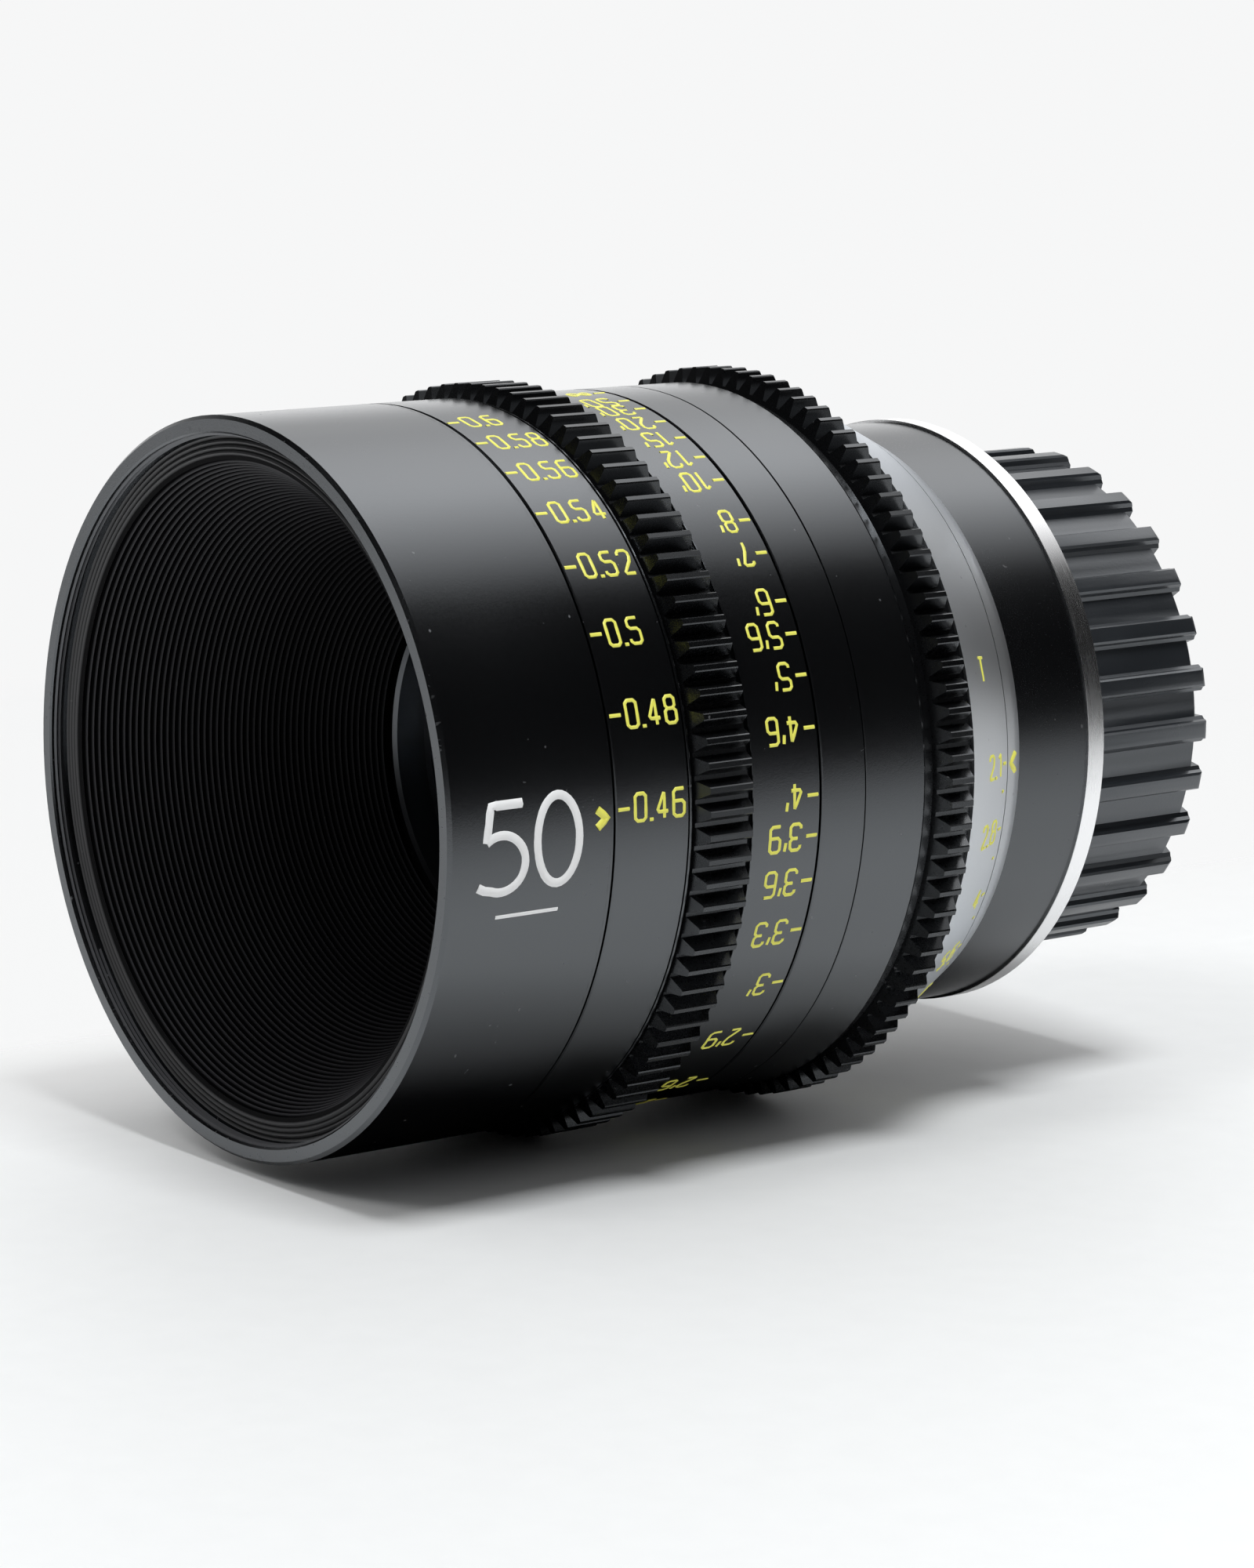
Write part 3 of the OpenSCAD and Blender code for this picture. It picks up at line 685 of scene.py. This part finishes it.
METRES = "0.46 0.48 0.5 0.52 0.54 0.56 0.58 0.6 0.7 0.8 0.9 1 1.1 1.2 1.4 1.6 2 2.5 3 4 6 12".split()
FEET = """1'7 1'8 1'9 1'10 2' 2'2 2'4 2'6 2'9 3' 3'3 3'6 3'9 4' 4'6 5' 5'6 6' 7' 8' 10' 12' 15' 20'
          30' 50'""".split()
METRIC_ENDLESS = NEAR_INDEX - FOCUS_TURN
metric_places = [(t, METRIC_ENDLESS + scale_angle(float(t))) for t in METRES] + [("~", METRIC_ENDLESS)]
foot_places = [(t, FAR_INDEX + scale_angle(feet(t))) for t in FEET] + [("~", FAR_INDEX)]


def distance_scale(name, places, dash_y, number_y, way):
    figures, dashes = [], []
    for text, degrees in places:
        paths, _ = figure_paths(text, FIGURE_W, FIGURE_H, FIGURE_GAP)
        figures += on_barrel(paths, number_y, degrees, way)
        dashes += on_barrel([("line", [(0.0, 0.0), (DASH, 0.0)])], dash_y, degrees, way)
    painted_paths(name, figures, CUTTER, STROKE, "scale_paint", "focus_ring")
    painted_paths(name + "_dashes", dashes, CUTTER * 1.2, STROKE * 1.1, "scale_paint", "focus_ring")


distance_scale("metre_scale", metric_places, METRE_DASH_Y, METRE_FIGURE_Y, 1)
distance_scale("foot_scale", foot_places, FOOT_DASH_Y, FOOT_FIGURE_Y, -1)

# %% [markdown]
# ## The aperture scale
#
# The aperture numbers stand on the cone behind the iris gear, nearer together as the iris
# closes. A dot marks each half stop. The cone narrows towards the mount, so a path on it is
# laid along the slope, and outwards means square to the cone.

# %% Numbers on the cone
CONE_R, CONE_Y, CONE_END_R = 39.7 * MM, -24.1 * MM, 34.0 * MM
slope = Vector((CONE_END_R - CONE_R, CONE_END_Y - CONE_Y)).normalized()


def on_cone(paths, start_y, degrees):
    """Wraps flat paths on the cone, reading to the rear from start_y."""
    laid = []
    for kind, points in paths:
        spots = []
        for u, v in fine_steps(points, 0.6 * MM, kind == "loop"):
            y = start_y + u * slope.y
            r = CONE_R + (y - CONE_Y) * slope.x / slope.y
            a = degrees - math.degrees(v / r)
            out = round_axis(slope.y, a, 0.0) + Vector((0.0, -slope.x, 0.0))
            spots.append((round_axis(r, a, y), out))
        laid.append((kind, spots))
    return laid


STOPS = ["2.1", "2.8", "4", "5.6", "8", "11", "16", "22"]
STOP_TURNS = [0.0, 11.9, 25.0, 37.0, 48.4, 58.8, 67.6, 75.0]
IRIS_INDEX = 89.9
SMALL_W, SMALL_H, SMALL_GAP = 1.15 * MM, 2.60 * MM, 0.76 * MM
SMALL_STROKE, SMALL_CUTTER = 0.40 * MM, 0.29 * MM
STOP_FIGURE_END_Y, STOP_DASH_Y = -17.35 * MM, -16.75 * MM
STOP_DASH, HALF_STOP_DASH, HALF_STOP_SHIFT = 0.75 * MM, 0.36 * MM, 1.0
LETTER_Y, LETTER_TURN = -20.6 * MM, 16.6
iris_marks = []
for text, turn in zip(STOPS, STOP_TURNS):
    paths, length = figure_paths(text, SMALL_W, SMALL_H, SMALL_GAP)
    iris_marks += on_cone(paths, STOP_FIGURE_END_Y - length * slope.y, IRIS_INDEX + turn)
    iris_marks += on_cone([("line", [(0.0, 0.0), (STOP_DASH, 0.0)])], STOP_DASH_Y, IRIS_INDEX + turn)
for turn_a, turn_b in zip(STOP_TURNS, STOP_TURNS[1:]):
    half_stop = IRIS_INDEX + (turn_a + turn_b) / 2 - HALF_STOP_SHIFT
    iris_marks += on_cone([("line", [(0.0, 0.0), (HALF_STOP_DASH, 0.0)])], STOP_DASH_Y, half_stop)
letter, _ = figure_paths("T", SMALL_W, SMALL_H, SMALL_GAP)
iris_marks += on_cone(letter, LETTER_Y, IRIS_INDEX - LETTER_TURN)
painted_paths("aperture_scale", iris_marks, SMALL_CUTTER, SMALL_STROKE, "scale_paint", "iris_ring")

# %% [markdown]
# ## Focal length and index marks
#
# The focal length stands large and white on the front barrel, with a thin bar under it. Its two
# figures are drawn with true arcs, since at ten millimetres high a cut corner would show. The
# yellow chevrons are the fixed indexes that the scales are read against.

# %% Arcs for the large figures
def arc(cx, cy, rx, ry, start, end, count=28):
    steps = [math.radians(start + (end - start) * i / count) for i in range(count + 1)]
    return [(cx + rx * math.cos(t), cy + ry * math.sin(t)) for t in steps]


BIG_W, BIG_H = 5.3 * MM, 8.9 * MM
BIG_STROKE, BIG_CUTTER = 1.1 * MM, 0.9 * MM
FOCAL_Y, FIVE_TURN, NOUGHT_TURN = -89.4 * MM, 91.3, 90.9
BAR_Y, BAR_TURN, BAR_LENGTH = -87.45 * MM, 101.5, 7.8 * MM
BAR_STROKE, BAR_CUTTER = 0.44 * MM, 0.4 * MM
bowl = arc(2.25 * MM, -1.55 * MM, 3.0 * MM, 2.95 * MM, 128, -112)
tail = [(0.25 * MM, -4.12 * MM), (-0.55 * MM, -3.72 * MM)]
five = [("line", [(4.9 * MM, BIG_H / 2), (1.05 * MM, BIG_H / 2), bowl[0]]), ("line", bowl + tail)]
nought = [("loop", arc(9.35 * MM, 0.0, BIG_W / 2, BIG_H / 2 + 0.15 * MM, 0, 350, 35))]
focal = on_barrel(five, FOCAL_Y, FIVE_TURN, 1) + on_barrel(nought, FOCAL_Y, NOUGHT_TURN, 1)
painted_paths("focal_length", focal, BIG_CUTTER, BIG_STROKE, "numeral_paint", "barrel")
bar = on_barrel([("line", [(0.0, 0.0), (BAR_LENGTH, 0.0)])], BAR_Y, BAR_TURN, 1)
painted_paths("focal_length_bar", bar, BAR_CUTTER, BAR_STROKE, "numeral_paint", "barrel")

# %% Chevrons as index marks
CHEVRON_STROKE, CHEVRON_CUTTER = 0.92 * MM, 0.6 * MM
SMALL_CHEVRON_STROKE, SMALL_CHEVRON_CUTTER = 0.8 * MM, 0.5 * MM
METRE_INDEX_Y, METRE_INDEX_TURN = -75.15 * MM, 88.7
FOOT_INDEX_Y = -43.4 * MM
IRIS_INDEX_Y, IRIS_INDEX_SHIFT = -14.85 * MM, 0.4
chevron = [("line", [(0.0, 0.95 * MM), (1.2 * MM, 0.0), (0.0, -0.95 * MM)])]
metre_index = on_barrel(chevron, METRE_INDEX_Y, METRE_INDEX_TURN, 1)
painted_paths("focus_index", metre_index, CHEVRON_CUTTER, CHEVRON_STROKE, "scale_paint", "barrel")
foot_index = on_barrel(chevron, FOOT_INDEX_Y, FAR_INDEX + FOCUS_TURN, -1)
painted_paths("foot_index", foot_index, CHEVRON_CUTTER, CHEVRON_STROKE, "scale_paint", "barrel")
small_chevron = [("line", [(1.25 * MM, 1.0 * MM), (0.0, 0.0), (1.25 * MM, -1.0 * MM)])]
iris_index = on_cone(small_chevron, IRIS_INDEX_Y, IRIS_INDEX + IRIS_INDEX_SHIFT)
painted_paths("iris_index", iris_index, SMALL_CHEVRON_CUTTER, SMALL_CHEVRON_STROKE, "scale_paint", "barrel")

# %% [markdown]
# ## Table and lamp
#
# The lens lies on its gears on a white table under a soft lamp. To the camera the table fades
# out round the lens, so that the backdrop begins with no line. It fades sooner on the far side,
# which is staging and painted light: the photograph's shadow is fainter there than this light gives.
# To a mirror the table fades towards the room, a painted shade for a table whose far end is out
# of the light, and close under the lens a black is mixed in, a painted shade. That too is staging,
# set by measured tones, for the black underside that the barrel has in the photograph.

# %% White table that fades into the backdrop
LENS_MIDDLE = (0.0, -0.040)
WHITE = (0.925, 0.928, 0.930)
TABLE_SIZE = 1.4
FADE_FROM, FADE_TO = 0.20, 0.34
FAR_FROM, FAR_TO, FAR_SHARE = 0.025, 0.070, 0.8
LIT_TO, LIT_FALL = 0.085, 0.25
SHADE_FROM, SHADE_TO, SHADE_SLANT = -0.003, 0.037, 0.333
SHADE_FRONT, SHADE_REAR = (RIM_Y - 4 * MM, RIM_Y + 4 * MM), (0.0, 12 * MM)
table_finish = bpy.data.materials.new("white_table")
f = Finish(table_finish)
place = f.node("ShaderNodeTexCoord", out="Object")
paper = f.noise(place, 220.0, 4.0)
top = f.node("ShaderNodeBsdfPrincipled", {}, {
    "Base Color": f.mix(paper.between(0.3, 0.7), (0.885, 0.89, 0.89), (0.90, 0.905, 0.905)),
    "Roughness": 0.6,
    "IOR": 1.4,
})
away = f.node("ShaderNodeVectorMath", {"operation": "DISTANCE"},
              {0: place, 1: (*LENS_MIDDLE, TABLE_Z)}, out="Value")
to_room, to_rear = (f.node("ShaderNodeSeparateXYZ", {}, {"Vector": place}, out=axis) for axis in "XY")
seen, mirrored = (f.node("ShaderNodeLightPath", out=ray) for ray in ("Is Camera Ray", "Is Glossy Ray"))
# painted shade in mirrors: past LIT_TO the table fades out to the dark ground of the room
lit = f.maths("EXPONENT", (LIT_TO - f.maths("MAXIMUM", to_room, LIT_TO)) / LIT_FALL)
# painted light for the camera: the table fades into the white backdrop on the far side, which weakens the
# shadow there
far_side = (0.0 - to_room).between(FAR_FROM, FAR_TO) * FAR_SHARE
share = seen * f.maths("MAXIMUM", away.between(FADE_FROM, FADE_TO), far_side) + mirrored * (1.0 - lit)
# painted shade in mirrors: a black mixed in close under the lens, along a slant
shade = mirrored * (1.0 - (to_room + to_rear * SHADE_SLANT).between(SHADE_FROM, SHADE_TO))
shade = shade * to_rear.between(*SHADE_FRONT) * (1.0 - to_rear.between(*SHADE_REAR))
dark = f.node("ShaderNodeBsdfDiffuse", {}, {"Color": (0.0, 0.0, 0.0)})
under = f.node("ShaderNodeMixShader", {}, {0: shade, 1: top, 2: dark})
gone = f.node("ShaderNodeBsdfTransparent", {}, {"Color": (1.0, 1.0, 1.0)})
f.node("ShaderNodeOutputMaterial", {}, {
    "Surface": f.node("ShaderNodeMixShader", {}, {0: share, 1: under, 2: gone})})
bpy.ops.object.select_all(action="DESELECT")
bpy.ops.mesh.primitive_plane_add(size=TABLE_SIZE, location=(*LENS_MIDDLE, TABLE_Z))
table = bpy.context.object
table.name = "table"
bpy.ops.object.transform_apply(location=True, rotation=True, scale=True)
table.data.materials.append(table_finish)
print("table at", round(TABLE_Z / MM, 2), "mm")

# %% Key lamp overhead
KEY_PLACE, KEY_SIZE, KEY_RADIANCE = (0.573, -0.062, 1.50), (0.432, 0.465), 25.4
LAMP_COLOUR = (0.97, 0.99, 1.0)


def soft_lamp(name, middle, size, radiance):
    """A lamp that shines straight down, of the given brightness to the eye."""
    bpy.ops.object.light_add(type="AREA", location=middle)
    lamp = bpy.context.object
    lamp.name = name
    lamp.data.shape = "RECTANGLE"
    lamp.data.size, lamp.data.size_y = size
    lamp.data.energy = radiance * math.pi * size[0] * size[1]
    lamp.data.color = LAMP_COLOUR
    print(name, "of", round(lamp.data.energy, 2), "W")


soft_lamp("key_lamp", KEY_PLACE, KEY_SIZE, KEY_RADIANCE)

# %% [markdown]
# ## The room round the table
#
# The camera sees a plain white backdrop. The barrel is a soft mirror and shows what stands round
# the table: a white wall behind, a bright panel above it and a dark room at the side, which is
# the black band along the barrel. What lights the table is set apart from what is mirrored: a
# dome, the low wall, some light from the left and a fill from the front. The mirrored tones and
# the shadow were matched to the photograph one after the other.

# %% White wall behind, dark room at the side, a fill from the front
WALL_HEADING, WALL_FALL, WALL_STRENGTH = (-0.80, 0.60, 0.0), 4.5, 1.55
PANEL_STRENGTH, GROUND_STRENGTH = 2.2, 0.85
FILL_HEADING = Vector((0.032, -0.566, 0.824)).normalized()
FILL_EDGE, FILL_CORE, FILL_STRENGTH = 0.984, 0.995, 7.0
DOME_STRENGTH, LOW_WALL_STRENGTH, LEFT_STRENGTH = 0.46, 1.3, 0.30
world = bpy.data.worlds.new("studio")
bpy.context.scene.world = world
w = Finish(world)
heading = w.node("ShaderNodeTexCoord", out="Generated")
across, along, height = (
    w.node("ShaderNodeSeparateXYZ", {}, {"Vector": heading}, out=axis) for axis in "XYZ")
wall = w.dot(heading, WALL_HEADING).between(0.2, 1.0) ** WALL_FALL * WALL_STRENGTH + 0.005
aside = across / w.maths("MAXIMUM", height, 0.1)
panel = (1.0 - aside.between(-0.2, 0.55)) * (1.0 - (0.0 - aside).between(0.3, 1.1) * 0.45)
panel = panel * height.between(0.18, 0.46) * along.between(-0.1, 0.3)
panel = panel * (1.0 - along.between(0.7, 0.95) * 0.35) * PANEL_STRENGTH
bright = w.maths("MAXIMUM", wall, panel)
ground = (1.0 - across.between(0.3, 0.8)) * GROUND_STRENGTH + 0.02
above = height.between(-0.03, 0.02)
mirror = above * bright + (1.0 - above) * ground
camera_ray, glossy_ray, clear_ray = (
    w.node("ShaderNodeLightPath", out="Is %s Ray" % kind) for kind in ("Camera", "Glossy", "Transmission"))
mirrored = w.maths("MAXIMUM", glossy_ray, clear_ray)
fill = w.dot(heading, FILL_HEADING).between(FILL_EDGE, FILL_CORE) * FILL_STRENGTH
low_wall = above * wall * (1.0 - height.between(0.60, 0.80)) * LOW_WALL_STRENGTH
left = (0.0 - across).between(0.0, 0.6) * height.between(0.05, 0.3) * LEFT_STRENGTH
room = height.between(0.3, 0.7) * DOME_STRENGTH + low_wall + left + fill
strength = camera_ray + (1.0 - camera_ray) * (mirrored * mirror + (1.0 - mirrored) * room)
w.node("ShaderNodeOutputWorld", {}, {
    "Surface": w.node("ShaderNodeBackground", {}, {"Color": WHITE, "Strength": strength})})
print("world ready")

# %% [markdown]
# ## The camera
#
# Place, direction and focal length were fitted to the photograph, with the front of the barrel
# taken as 80 mm across. So the picture can be laid over the photograph and compared.

# %% Camera at the photograph's angle
CAMERA_PLACE = (0.43452, -0.36880, 0.09054)
CAMERA_FOCAL, CAMERA_WIDTH = 112.63, 36.0
back = Vector((0.78659, -0.59295, 0.17228)).normalized()
right = Vector((0.0, 0.0, 1.0)).cross(back).normalized()
up = back.cross(right)
camera_data = bpy.data.cameras.new("camera")
camera_data.lens = CAMERA_FOCAL
camera_data.sensor_width = CAMERA_WIDTH
camera_data.clip_start = 0.02
camera = bpy.data.objects.new("camera", camera_data)
bpy.context.scene.collection.objects.link(camera)
turn = Matrix((right, up, back)).transposed().to_4x4()
camera.matrix_world = Matrix.Translation(CAMERA_PLACE) @ turn
bpy.context.scene.camera = camera
bpy.context.scene.view_settings.view_transform = "Standard"
print("camera at", [round(v, 4) for v in camera.location])
